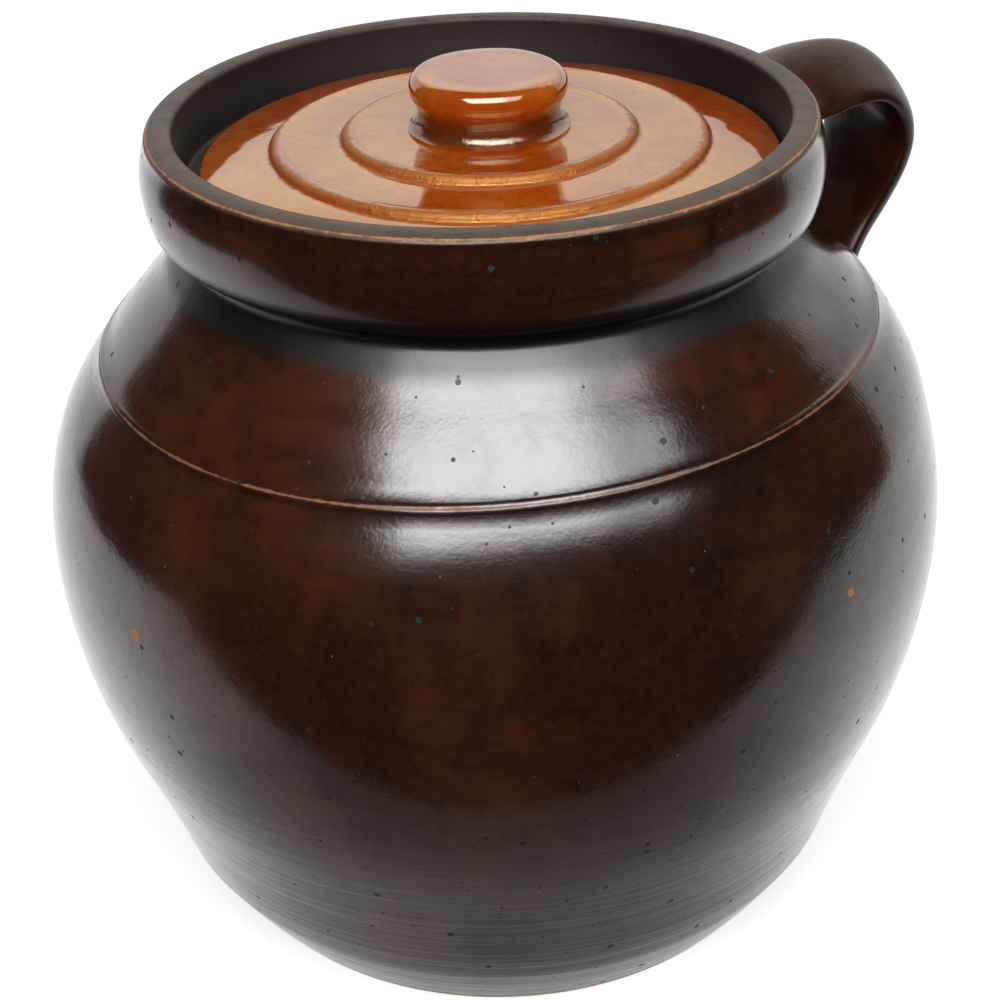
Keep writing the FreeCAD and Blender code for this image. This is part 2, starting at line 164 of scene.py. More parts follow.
def rounded(a, m, b, fineness=FINE):
    """Points on the arc from a through m to b, with a and b."""
    (ax, ay), (mx, my), (bx, by) = a, m, b
    d = 2 * (ax * (my - by) + mx * (by - ay) + bx * (ay - my))
    if abs(d) < 1e-12:
        return [a, b]
    a2, m2, b2 = ax * ax + ay * ay, mx * mx + my * my, bx * bx + by * by
    cx = (a2 * (my - by) + m2 * (by - ay) + b2 * (ay - my)) / d
    cy = (a2 * (bx - mx) + m2 * (ax - bx) + b2 * (mx - ax)) / d
    r = hypot(ax - cx, ay - cy)
    start, end = atan2(ay - cy, ax - cx), atan2(by - cy, bx - cx)
    sweep = (end - start) % (2 * pi)
    if (mx - ax) * (by - ay) - (my - ay) * (bx - ax) < 0:
        sweep -= 2 * pi
    count = max(2, ceil(abs(sweep) / (2 * acos(1 - min(fineness / r, 1)))))
    inner = [start + sweep * i / count for i in range(1, count)]
    return [a] + [(cx + r * cos(t), cy + r * sin(t)) for t in inner] + [b]


def flowing(points, heading, fineness):
    """Points along tangent arcs through these points, the first one setting out at heading, in degrees above +X."""
    run = [points[0]]
    turn = radians(heading)
    for (r0, z0), (r1, z1) in zip(points, points[1:]):
        chord = atan2(z1 - z0, r1 - r0)
        bend = (turn - chord + pi) % (2 * pi) - pi
        rise = hypot(r1 - r0, z1 - z0) / 2 * tan(bend / 2)
        middle = ((r0 + r1) / 2 - rise * sin(chord), (z0 + z1) / 2 + rise * cos(chord))
        run += rounded((r0, z0), middle, (r1, z1), fineness)[1:]
        turn = chord - bend
    return run


def joined(*runs):
    """One outline from runs of points, without the points that two runs share."""
    outline = []
    for run in runs:
        for point in run:
            if not outline or hypot(point[0] - outline[-1][0], point[1] - outline[-1][1]) > 1e-6:
                outline.append(point)
    return outline


def started(name, add, **settings):
    """A new object, made by an operator that adds one, with nothing else selected."""
    bpy.ops.object.select_all(action="DESELECT")
    add(**settings)
    thing = bpy.context.object
    thing.name = thing.data.name = name
    return thing


def turned_piece(name, outline, segments, centre=WHEEL_CENTRE):
    """A piece thrown on the wheel: one vertex is drawn along the outline, and the outline is spun once round."""
    start = (outline[0][0] + centre[0], centre[1], outline[0][1])
    piece = started(name, bpy.ops.mesh.primitive_plane_add, size=MM, location=start)
    bpy.ops.object.mode_set(mode="EDIT")
    bpy.ops.mesh.select_mode(type="VERT")
    bpy.ops.mesh.select_all(action="SELECT")
    bpy.ops.mesh.merge(type="CENTER")
    for (r0, z0), (r1, z1) in zip(outline, outline[1:]):
        bpy.ops.mesh.extrude_vertices_move(TRANSFORM_OT_translate={"value": (r1 - r0, 0, z1 - z0)})
    bpy.ops.mesh.select_all(action="SELECT")
    bpy.ops.mesh.spin(steps=segments, angle=2 * pi, center=(centre[0], centre[1], 0), axis=(0, 0, 1))
    bpy.ops.mesh.select_all(action="SELECT")
    bpy.ops.mesh.remove_doubles(threshold=2e-6)
    bpy.ops.mesh.normals_make_consistent(inside=False)
    bpy.ops.object.mode_set(mode="OBJECT")
    bpy.ops.object.transform_apply(location=True, rotation=True, scale=True)
    check_closed(piece)
    return piece


def check_closed(piece):
    """Stops the script if a finished piece has an open edge or is inside out."""
    shell = bmesh.new()
    shell.from_mesh(piece.data)
    loose = sum(1 for edge in shell.edges if len(edge.link_faces) != 2)
    volume = shell.calc_volume(signed=True)
    shell.free()
    if loose or volume <= 0:
        raise RuntimeError("%s has %d open edges and volume %g" % (piece.name, loose, volume))


def smooth(piece, angle=35):
    only(piece)
    bpy.ops.object.shade_smooth_by_angle(angle=radians(angle))


def weighted(piece, name, weight):
    """Gives the piece a vertex group whose weight at each vertex is weight(x, y, z)."""
    group = piece.vertex_groups.new(name=name)
    for vertex in piece.data.vertices:
        share = weight(*vertex.co)
        if share > 0:
            group.add([vertex.index], share, "REPLACE")


def fade(low, high, value):
    """0 below low, 1 above high and eased in between."""
    t = min(max((value - low) / (high - low), 0), 1)
    return t * t * (3 - 2 * t)


def uneven(piece, group, strength, size):
    """Pushes the group's surface in by up to strength, in soft waves of the given size."""
    only(piece)
    texture = bpy.data.textures.new(piece.name + " waves", "CLOUDS")
    texture.noise_scale = size
    texture.noise_depth = 1
    waves = piece.modifiers.new("Waves", "DISPLACE")
    waves.texture = texture
    waves.texture_coords = "LOCAL"
    waves.vertex_group = group
    waves.mid_level = 1.0
    waves.strength = strength
    bpy.ops.object.modifier_apply(modifier="Waves")
    bpy.data.textures.remove(texture)


def choose(piece, wanted, mode="VERT"):
    """Goes into edit mode with only the wanted vertices, or faces, of the piece selected."""
    only(piece)
    bpy.ops.object.mode_set(mode="EDIT")
    bpy.ops.mesh.select_mode(type=mode)
    bpy.ops.mesh.select_all(action="DESELECT")
    bpy.ops.object.mode_set(mode="OBJECT")
    for element in piece.data.vertices if mode == "VERT" else piece.data.polygons:
        element.select = wanted(element)
    bpy.ops.object.mode_set(mode="EDIT")


def moved_softly(piece, chosen, reach, move, **settings):
    """Moves or turns the chosen vertices, with what lies within reach following them."""
    choose(piece, lambda vertex: chosen(vertex.co))
    move(
        use_proportional_edit=True, proportional_edit_falloff="SMOOTH", proportional_size=reach,
        use_proportional_connected=True, **settings,
    )
    bpy.ops.object.mode_set(mode="OBJECT")


def finish_piece(piece, body, slot, material, *nodes):
    """Gives a piece its finish and its place in the frame."""
    piece.data.materials.clear()
    piece.data.materials.append(material)
    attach(piece, body)
    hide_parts(*nodes)


# Shader helpers


def put(tree, kind, inputs=(), **settings):
    """Adds a node, sets it up and feeds its inputs, which are sockets, numbers or colours."""
    made = tree.nodes.new(kind)
    for key, value in settings.items():
        setattr(made, key, value)
    pairs = inputs.items() if isinstance(inputs, dict) else enumerate(inputs)
    for key, value in pairs:
        if isinstance(value, bpy.types.NodeSocket):
            tree.links.new(value, made.inputs[key])
        else:
            made.inputs[key].default_value = value
    return made


def tree_of(*values):
    """The node tree that the sockets among these values are in."""
    return next(value.id_data for value in values if isinstance(value, bpy.types.NodeSocket))


def maths(operation, *values, clamp=False):
    return put(tree_of(*values), "ShaderNodeMath", values, operation=operation, use_clamp=clamp).outputs[0]


def times(a, b):
    return maths("MULTIPLY", a, b)


def most(first, *others):
    """The greatest of these values."""
    for other in others:
        first = maths("MAXIMUM", first, other)
    return first


def scaled(value, factor, plus, clamp=False):
    """value times factor, plus a third value."""
    return maths("MULTIPLY_ADD", value, factor, plus, clamp=clamp)


def object_coordinates(tree):
    return put(tree, "ShaderNodeTexCoord").outputs["Object"]


def noise(tree, place, scale, detail, roughness=0.5, distortion=0.0):
    """A cloudy value, from 0 to 1, that changes from place to place."""
    inputs = {"Vector": place, "Scale": scale, "Detail": detail, "Roughness": roughness, "Distortion": distortion}
    return put(tree, "ShaderNodeTexNoise", inputs).outputs[0]


def remap(value, low, high, to_low=0.0, to_high=1.0):
    """value between low and high, eased to between to_low and to_high."""
    inputs = {"Value": value, 1: low, 2: high, 3: to_low, 4: to_high}
    return put(tree_of(value), "ShaderNodeMapRange", inputs, interpolation_type="SMOOTHSTEP").outputs[0]


def mixed(share, a, b):
    """Colour a with share of colour b mixed in."""
    return put(tree_of(share), "ShaderNodeMix", {0: share, 6: a, 7: b}, data_type="RGBA").outputs[2]


def layer(under, mask, share, over):
    """Colour over laid on colour under where the mask is, as strongly as share says."""
    return mixed(times(mask, share), under, over)


def colour(values):
    return (*values, 1.0)


def new_group(name, inputs, outputs):
    """A shader node group with named number inputs, (name, default), and named number outputs."""
    tree = bpy.data.node_groups.new(name, "ShaderNodeTree")
    for label, default in inputs:
        made = tree.interface.new_socket(label, in_out="INPUT", socket_type="NodeSocketFloat")
        made.default_value = default
    for label in outputs:
        tree.interface.new_socket(label, in_out="OUTPUT", socket_type="NodeSocketFloat")
    return tree, tree.nodes.new("NodeGroupInput"), tree.nodes.new("NodeGroupOutput")


def placed(tree, group, **values):
    """The output of a node group placed in a material, with its inputs set by name."""
    inputs = {key.replace("_", " ").capitalize(): value for key, value in values.items()}
    return put(tree, "ShaderNodeGroup", inputs, node_tree=group).outputs[0]


def throwing_lines_group():
    """Fine rings that fingers leave on turning clay."""
    tree, given, out = new_group("Throwing lines", [("Per metre", 260.0), ("Wander", 6.0)], ["Height"])
    place = object_coordinates(tree)
    x, y, z = put(tree, "ShaderNodeSeparateXYZ", [place]).outputs
    across = given.outputs["Wander"]
    high = given.outputs["Per metre"]
    scales = [times(x, across), times(y, across), times(z, high)]
    stretched = put(tree, "ShaderNodeCombineXYZ", scales)
    cloud = noise(tree, stretched.outputs[0], 1.0, 4.0, 0.62)
    tree.links.new(cloud, out.inputs["Height"])
    return tree


def mottle_group():
    """Cloudy patches where a glaze is thicker or thinner."""
    tree, given, out = new_group("Mottle", [("Scale", 30.0), ("Low", 0.4), ("High", 0.62)], ["Mask"])
    place = object_coordinates(tree)
    cloud = noise(tree, place, given.outputs["Scale"], 5.0, 0.6, 0.4)
    mask = remap(cloud, given.outputs["Low"], given.outputs["High"])
    tree.links.new(mask, out.inputs["Mask"])
    return tree


def pits_group():
    """Scattered round pinholes of different sizes."""
    tree, given, out = new_group("Pits", [("Scale", 90.0), ("Size", 0.09), ("Share", 0.8)], ["Mask"])
    place = object_coordinates(tree)
    inputs = {"Vector": place, "Scale": given.outputs["Scale"], "Randomness": 1.0}
    cells = put(tree, "ShaderNodeTexVoronoi", inputs, feature="F1")
    red, green, blue = put(tree, "ShaderNodeSeparateColor", [cells.outputs["Color"]]).outputs
    ragged = noise(tree, place, 900.0, 2.0)
    radius = times(given.outputs["Size"], scaled(green, 0.8, 0.3))
    edge = scaled(ragged, 0.05, cells.outputs["Distance"])
    inside = maths("LESS_THAN", edge, maths("ADD", radius, 0.025))
    chosen = maths("LESS_THAN", red, given.outputs["Share"])
    tree.links.new(times(inside, chosen), out.inputs["Mask"])
    return tree


def peel_group():
    """The fine dimples of a glaze that has bubbled and settled."""
    tree, given, out = new_group("Orange peel", [("Scale", 1100.0)], ["Height"])
    place = object_coordinates(tree)
    small = noise(tree, place, given.outputs["Scale"], 2.0, 0.55)
    wide = noise(tree, place, times(given.outputs["Scale"], 0.22), 2.0)
    tree.links.new(scaled(wide, 1.6, small), out.inputs["Height"])
    return tree


def worn_line_group():
    """A line rubbed bare along an edge: Place is where the surface is, Line where the edge is."""
    inputs = [("Place", 0.0), ("Line", 0.0), ("Breadth", 0.6 * MM), ("Ragged", 0.6)]
    tree, given, out = new_group("Worn line", inputs, ["Mask"])
    place = object_coordinates(tree)
    coarse = noise(tree, place, 75.0, 4.0, 0.65)
    fine = noise(tree, place, 620.0, 3.0, 0.7)
    away = maths("ABSOLUTE", maths("SUBTRACT", given.outputs["Place"], given.outputs["Line"]))
    near = maths("SUBTRACT", 1.0, maths("DIVIDE", away, given.outputs["Breadth"]))
    clouds = maths("SUBTRACT", maths("ADD", coarse, fine), 1.0)
    broken = times(given.outputs["Ragged"], clouds)
    mask = remap(scaled(broken, 2.4, near), 0.15, 0.75)
    tree.links.new(mask, out.inputs["Mask"])
    return tree


def new_material(name):
    """A new material with its tree and its Principled shader."""
    material = bpy.data.materials.new(name)
    material.use_nodes = True
    return material, material.node_tree, material.node_tree.nodes["Principled BSDF"]


def fix(shader, values):
    """Sets a shader's inputs that are the same all over."""
    for key, value in values.items():
        shader.inputs[key].default_value = value


def object_place(tree, centre=WHEEL_CENTRE):
    """Sockets for the radius from the wheel's axis and the height."""
    inputs = {"Vector": object_coordinates(tree), "Location": (-centre[0], -centre[1], 0)}
    centred = put(tree, "ShaderNodeMapping", inputs, vector_type="POINT")
    x, y, z = put(tree, "ShaderNodeSeparateXYZ", [centred.outputs[0]]).outputs
    radius = maths("SQRT", maths("ADD", times(x, x), times(y, y)))
    return radius, z


def chip(tree, place, reach):
    """A flake knocked out of the glaze at one place."""
    where = object_coordinates(tree)
    ragged = noise(tree, where, 700.0, 3.0)
    away = put(tree, "ShaderNodeVectorMath", [where, place], operation="DISTANCE").outputs["Value"]
    return maths("LESS_THAN", scaled(ragged, reach * 1.1, away), reach * 1.5)


def glaze_shader(tree, shader, body, gloss, coat, relief, depth, strength, fixed):
    """Sets up a glaze: a textured body that follows the relief, under a clear glassy coat that lies smooth on it."""
    bump = put(tree, "ShaderNodeBump", {"Height": relief, "Strength": strength, "Distance": depth}).outputs[0]
    for key, value in (("Base Color", body), ("Roughness", gloss), ("Coat Weight", coat), ("Normal", bump)):
        tree.links.new(value, shader.inputs[key])
    fix(shader, fixed)


def make_brown_glaze(groups, finish, sizes, slope):
    """Dark slip glaze of the pot, with its throwing lines, pinholes and worn edges."""
    material, tree, shader = new_material("brown glaze")
    radius, height = object_place(tree)
    black, russet, buff = colour(finish.black), colour(finish.russet), colour(finish.tan)
    cloudy, smoky, fine, grain = [
        placed(tree, groups["mottle"], scale=scale, low=low, high=high)
        for scale, low, high in ((24.0, 0.42, 0.64), (13.0, 0.46, 0.66), (150.0, 0.45, 0.72), (520.0, 0.42, 0.62))
    ]
    lines = placed(tree, groups["lines"], per_metre=190.0, wander=5.0)
    ink = placed(tree, groups["lines"], per_metre=560.0, wander=18.0)
    pits, pinholes, specks = [
        placed(tree, groups["pits"], scale=scale, size=size, share=share)
        for scale, size, share in ((150.0, 0.12, 0.7), (230.0, 0.085, 0.55), (200.0, 0.05, 0.3))
    ]
    peel = placed(tree, groups["peel"], scale=1100.0)
    # body colour, redder on the shoulder: partly where the glaze has run thin, partly painted light where the shoulder
    # faces the lamps
    shoulder = times(remap(height, 0.118, 0.148), remap(height, 0.176, 0.164))
    thin = scaled(shoulder, 0.4, times(cloudy, 0.75), clamp=True)
    body = mixed(thin, colour(finish.brown), russet)
    body = layer(body, smoky, 0.7, black)
    body = layer(body, fine, 0.4, black)
    # dark streaks low on the wall and under the rim
    low_wall = remap(height, 0.07, 0.03, 0.14, 0.5)
    collar = remap(height, 0.175, 0.182, 0.0, 0.5)
    streaks = times(remap(ink, 0.5, 0.66), most(low_wall, collar))
    body = mixed(streaks, body, black)
    body = layer(body, grain, 0.18, russet)
    # painted shade: the neck under the collar is darkened nearly to black
    neck_shade = times(remap(height, 0.1665, 0.1715), remap(height, 0.1845, 0.1805))
    body = layer(body, neck_shade, 0.9, PAINTED_NECK_SHADE)
    # shoulder line: bare on its crest, darkened just under it
    upright = (-slope[0], -slope[1], 1)
    tilted = put(tree, "ShaderNodeVectorMath", [object_coordinates(tree), upright], operation="DOT_PRODUCT")
    line = {"place": tilted.outputs["Value"]}
    below_line = sizes.ridge_height - 0.9 * MM
    under = placed(tree, groups["worn"], line=below_line, breadth=1.0 * MM, ragged=0.6, **line)
    outside = maths("GREATER_THAN", radius, 0.0868)
    body = layer(body, times(under, outside), 0.5, black)
    ridge = sizes.ridge_height + 0.2 * MM
    crest = placed(tree, groups["worn"], line=ridge, breadth=0.32 * MM, ragged=0.75, **line)
    crest = times(crest, outside)
    body = layer(body, crest, 0.35, buff)
    # rim: rubbed to the clay along its outer edge, satin on top
    rubbed = sizes.rim_radius - 0.25 * MM
    edge = placed(tree, groups["worn"], place=radius, line=rubbed, breadth=0.4 * MM, ragged=0.85)
    edge = times(edge, maths("GREATER_THAN", height, 0.1985))
    body = layer(body, edge, 0.8, buff)
    top = times(remap(height, 0.199, 0.2), remap(radius, 0.069, 0.07))
    dusty = mixed(times(fine, 0.8), DUST, black)
    body = mixed(times(top, scaled(edge, -0.8, 0.8)), body, dusty)
    # painted shade: the inside of the collar and pot is darkened nearly to black
    inside = times(maths("LESS_THAN", radius, 0.07025), remap(height, 0.15, 0.165))
    body = layer(body, inside, 0.85, black)
    # pinholes, specks and flakes
    holes = most(pits, pinholes)
    body = mixed(holes, body, PIT)
    body = layer(body, specks, 0.5, GRIT)
    flakes = most(chip(tree, FLAKE, FLAKE_SIZE), chip(tree, SCAR, SCAR_SIZE))
    body = layer(body, flakes, 0.85, buff)
    # bare clay of the foot
    wave = placed(tree, groups["lines"], per_metre=0.0, wander=60.0)
    bare = remap(scaled(wave, -0.0022, height), 0.0016, 0.0008)
    bare = times(bare, remap(radius, 0.064, 0.0655))
    body = mixed(bare, body, mixed(times(fine, 0.5), colour(finish.clay), DAMP_CLAY))
    # gloss: the glassy coat is gone from the rubbed rim, the foot and the flakes, and dull inside the collar
    worn = most(most(edge, crest), most(flakes, bare))
    dull = most(most(times(top, 0.9), inside), worn)
    dull = most(dull, times(holes, 0.9), times(neck_shade, 0.6))
    coat = times(maths("SUBTRACT", 1.0, dull), scaled(fine, -0.1, 0.42))
    gloss = scaled(cloudy, 0.04, remap(lines, 0.25, 0.75, 0.13, 0.19))
    gloss = scaled(dull, 0.42, gloss)
    # relief: lines of the fingers, deepest low on the wall
    relief = times(lines, remap(height, 0.095, 0.02, 0.3, 2.8))
    for mask, share in (
        (holes, -0.5), (flakes, -0.6), (peel, 0.22), (times(grain, most(top, edge)), 0.15),
    ):
        relief = scaled(mask, share, relief)
    glaze_shader(
        tree, shader, body, gloss, coat, relief, 0.3 * MM, 0.6,
        {"IOR": 1.5, "Specular IOR Level": 0.33, "Coat IOR": 1.53, "Coat Roughness": 0.13},
    )
    return material


def make_handle_glaze(groups, finish):
    """The same dark glaze on the strap, a little redder where it breaks."""
    material, tree, shader = new_material("brown glaze on strap")
    cloudy = placed(tree, groups["mottle"], scale=46.0, low=0.42, high=0.64)
    fine = placed(tree, groups["mottle"], scale=170.0, low=0.45, high=0.72)
    pits = placed(tree, groups["pits"], scale=110.0, size=0.055, share=0.7)
    peel = placed(tree, groups["peel"], scale=900.0)
    body = layer(colour(finish.brown), cloudy, 0.6, colour(finish.russet))
    body = layer(body, fine, 0.5, colour(finish.black))
    body = mixed(pits, body, PIT)
    gloss = scaled(cloudy, 0.12, 0.3)
    coat = maths("SUBTRACT", scaled(fine, -0.08, 0.17), times(pits, 0.1))
    relief = scaled(pits, -0.6, times(cloudy, 0.5))
    relief = scaled(peel, 0.16, relief)
    glaze_shader(
        tree, shader, body, gloss, coat, relief, 0.3 * MM, 0.6,
        {"IOR": 1.45, "Specular IOR Level": 0.08, "Coat IOR": 1.4, "Coat Roughness": 0.2},
    )
    return material


def make_amber_glaze(groups, finish, name, centre, rings, pools, sheen):
    """Clear amber glaze of the lid and knob, breaking to rust along the raised rings, with a painted reflection at the
    foot of each ring and painted shade in dark bands such as the knob's waist.
    """
    material, tree, shader = new_material(name)
    radius, height = object_place(tree, centre)
    cloudy = placed(tree, groups["mottle"], scale=60.0, low=0.4, high=0.66)
    fine = placed(tree, groups["mottle"], scale=330.0, low=0.46, high=0.68)
    pits = placed(tree, groups["pits"], scale=190.0, size=0.05, share=0.6)
    peel = placed(tree, groups["peel"], scale=420.0)
    body = layer(colour(finish.amber), cloudy, 0.6, colour(finish.honey))
    body = layer(body, fine, 0.5, BURNT)
    ragged = times(fine, 0.0)
    for line in rings:
        # painted reflection: a pale lilac-grey band at the foot of each ring
        foot = placed(tree, groups["worn"], place=radius, line=line + 2.2 * MM, breadth=1.1 * MM, ragged=0.7)
        body = layer(body, foot, 0.4, PAINTED_RING_FOOT_REFLECTION)
        ring = placed(tree, groups["worn"], place=radius, line=line, breadth=RING_WEAR, ragged=0.5)
        body = layer(body, ring, 0.8, colour(finish.rust))
        ragged = most(ragged, ring)
    # painted shade: a dark band at each given height, such as the knob's waist under its cap
    for line, breadth in pools:
        away = maths("ABSOLUTE", maths("SUBTRACT", height, line))
        waist_shade = remap(away, breadth, breadth * 0.35)
        body = mixed(times(waist_shade, scaled(cloudy, 0.2, 0.75)), body, PAINTED_WAIST_SHADE)
        ragged = most(ragged, times(waist_shade, 0.3))
    body = mixed(pits, body, AMBER_PIT)
    gloss = scaled(ragged, 0.42, scaled(cloudy, 0.03, 0.05))
    coat = scaled(ragged, -0.34, 0.35)
    relief = scaled(pits, -0.5, times(cloudy, 0.25))
    relief = scaled(times(ragged, fine), 2.0, relief)
    relief = scaled(peel, 0.035, relief)
    glaze_shader(
        tree, shader, body, gloss, coat, relief, 0.2 * MM, 0.4,
        {"IOR": 1.62, "Specular Tint": sheen, "Coat IOR": 1.4, "Coat Roughness": 0.05},
    )
    return material


# Outlines


def pot_outline(s):
    """The pot's whole outline, from the middle of the base round the outside and back down the inside."""
    foot, rim, z = s.foot_radius, s.rim_radius, s.rim_height
    heel, lower = (0.0880, 0.020), (0.0998, 0.053)
    belly, upper = (s.belly_radius, s.belly_height), (0.1034, 0.1327)
    line = s.ridge_height
    ridge_low, ridge_high = (0.09278, line - 0.00108), (0.09071, line + 0.00126)
    ridge_top = (0.09201, line + 0.00035)
    groove_low, groove_high = (0.0717, 0.17315), (0.0721, 0.17765)
    collar_foot, bulge = (0.0768, 0.1814), (0.0782, 0.1905)
    rim_side, rim_edge, rim_out = (rim + 0.0005, z - 0.0013), (rim, z), (rim - 0.001, z + 0.00045)
    rim_mid, rim_in = (rim - s.rim_width / 2, z + 0.0009), (rim - s.rim_width + 0.0006, z + 0.00077)
    rim_corner, rim_low = (rim - s.rim_width, z + 0.0004), (rim - s.rim_width - 0.00025, z - 0.0008)
    ledge, throat = s.ledge_height, s.throat_radius
    throat_low = (throat, ledge - 0.0094)
    inside = [
        throat_low, (throat + 0.0027, throat_low[1] - 0.007), (0.08296, 0.15084), (0.09656, 0.13004),
        (s.belly_radius - 0.0076, s.belly_height + 0.003), (0.0931, 0.0549), (0.08, 0.02456),
        (0.07356, 0.015), (0.06075, 0.0095),
    ]
    base = [
        (0, 0.0022), (0.03, 0.0022), (foot - 0.0102, 0.0022),
        (foot - 0.0084, 0.0002), (foot - 0.0079, 0), (foot - 0.0006, 0),
    ]
    ledge_corner = (s.ledge_radius - 0.00035, ledge + 0.00035)
    return joined(
        base,
        rounded((foot - 0.0006, 0), (foot - 0.0001, 0.0001), (foot + 0.0002, 0.0004)),
        flowing([(foot + 0.0002, 0.0004), (foot + 0.0036, 0.005), heel], 52, FINE),
        flowing([heel, lower, belly, upper, ridge_low], 72, FINE),
        rounded(ridge_low, ridge_top, ridge_high, FINER),
        flowing([ridge_high, (0.0804, 0.1637), groove_low], 129, FINE),
        rounded(groove_low, (0.0708, 0.1754), groove_high),
        rounded(groove_high, (0.0747, 0.17885), collar_foot),
        rounded(collar_foot, bulge, rim_side),
        rounded(rim_side, rim_edge, rim_out, FINEST),
        rounded(rim_out, rim_mid, rim_in, FINEST),
        rounded(rim_in, rim_corner, rim_low, FINEST),
        rounded((s.ledge_radius, ledge + 0.0012), ledge_corner, (s.ledge_radius - 0.0012, ledge)),
        rounded((throat + 0.0014, ledge), (throat + 0.00041, ledge - 0.00041), (throat, ledge - 0.0014)),
        flowing(inside, -90, 0.05 * MM),
        [(0.03, 0.0095), (0, 0.0095)],
    )


def step_points(radius, height, low):
    """One raised ring of the lid, from the flat outside it to the flat inside it."""
    points = [
        (radius + 0.0015, low), (radius + 0.00075, low + 0.00054), (radius - 0.00088, height + 0.00026),
        (radius - 0.0021, height + 0.00018), (radius - 0.0034, height),
    ]
    return flowing(points, 180, 0.006 * MM)


def lid_outline(s, ledge, ledge_radius):
    """The lid's outline, from the middle of its underside round its edge to the middle of its top."""
    r, z = ledge_radius - s.clearance, ledge
    seat = r - 0.009
    outer = step_points(s.outer_step, z + 0.0078, z + 0.0062)
    inner = step_points(s.inner_step, z + LID_TOP, z + 0.0079)
    edge = (r - 0.0013, z + LID_STEP)
    band_mid = ((edge[0] + outer[0][0]) / 2, edge[1] + 0.0026 * 0.62)
    return joined(
        [(0, z + 0.0024), (0.03, z + 0.0024), (seat - 0.0024, z + 0.0024)],
        rounded((seat - 0.0024, z + 0.0024), (seat - 0.0008, z + 0.0009), (seat, z)),
        rounded((r - 0.001, z), (r - 0.0003, z + 0.0003), (r, z + 0.001)),
        rounded((r - 0.0002, z + 0.0026), (r - 0.00055, z + 0.0033), edge),
        rounded(edge, band_mid, outer[0], FINER),
        outer,
        inner,
        [(0.012, z + LID_TOP), (0, z + LID_TOP)],
    )


def knob_outline(s, base):
    """The knob's outline, from the middle of its underside round its foot, waist and cap to the middle of its top."""
    r, top = s.knob_radius, s.knob_top
    flare, waist = (0.0186, base + 0.0005), (0.0163, base + 0.0041)
    under, widest = (r - 0.0007, base + 0.007), (r, base + 0.0096)
    cap, dish = (r - 0.003, top), (r * 0.35, top - 0.0003)
    return joined(
        [(0, base), (0.01, base), (0.0186, base)],
        rounded(flare, (0.01695, base + 0.0017), waist),
        rounded(waist, (0.01675, base + 0.0056), under),
        rounded(under, (r - 0.00012, base + 0.0083), widest),
        rounded(widest, (r - 0.0008, top - 0.00126), cap),
        rounded(cap, (0.0115, top - 0.00012), dish, 0.004 * MM),
        [(0.003, top - 0.0003), (0, top - 0.0003)],
    )


# Operators


def settings():
    return bpy.context.scene.bean_pot


def line_slope(s, turn):
    """How far the shoulder line rises for each metre along +X and +Y."""
    right, back = s.line_tilt[0] / SHOULDER_RADIUS, s.line_tilt[1] / SHOULDER_RADIUS
    return (right * cos(turn) - back * sin(turn), right * sin(turn) + back * cos(turn))


def lid_centre(lid):
    return (lid.shift * cos(lid.shift_angle), lid.shift * sin(lid.shift_angle))


def groups_and_finish():
    """The shared node groups, made on first use, and the finish settings."""
    makers = {
        "lines": ("Throwing lines", throwing_lines_group), "mottle": ("Mottle", mottle_group),
        "pits": ("Pits", pits_group), "peel": ("Orange peel", peel_group), "worn": ("Worn line", worn_line_group),
    }
    groups = {key: bpy.data.node_groups.get(name) or make() for key, (name, make) in makers.items()}
    return groups, settings().finishes


class BEANPOT_OT_pot(bpy.types.Operator):
    """Throws the pot with its foot, belly, shoulder line, collar, ledge and hollow inside"""
    bl_idname = "beanpot.pot"
    bl_label = "Pot"

    def execute(self, context):
        s = settings().pot
        groups, finish = groups_and_finish()
        piece = turned_piece("thrown_pot", pot_outline(s), s.segments)
        weighted(piece, "wall", lambda x, y, z: fade(12 * MM, 35 * MM, z) * fade(172 * MM, 160 * MM, z))
        uneven(piece, "wall", s.unevenness, 85 * MM)
        turn = settings().studio.view_turn
        shift = (s.lean * cos(turn), s.lean * sin(turn), 0)
        band, reach = 2.5 * MM, 30 * MM
        translate = bpy.ops.transform.translate
        moved_softly(piece, lambda co: abs(co.z - s.ridge_height) < band, reach, translate, value=shift)
        slope = line_slope(s, turn)
        self.tilt_line(piece, s, slope)
        smooth(piece)
        finish_piece(piece, "pot", "brown_glaze", make_brown_glaze(groups, finish, s, slope), "pot_body")
        return {"FINISHED"}

    def tilt_line(self, piece, s, slope):
        """Turns the shoulder line about the middle of the shoulder's round, so that it slides along the wall."""
        middle = (0, 0, s.ridge_height - SHOULDER_DEPTH)
        band, reach = 3.5 * MM, 20 * MM

        def near_line(co):
            return abs(co.z - s.ridge_height - slope[0] * co.x - slope[1] * co.y) < band

        for axis, turn in (("X", -slope[1]), ("Y", slope[0])):
            moved_softly(
                piece, near_line, reach, bpy.ops.transform.rotate,
                value=turn, orient_axis=axis, center_override=middle,
            )


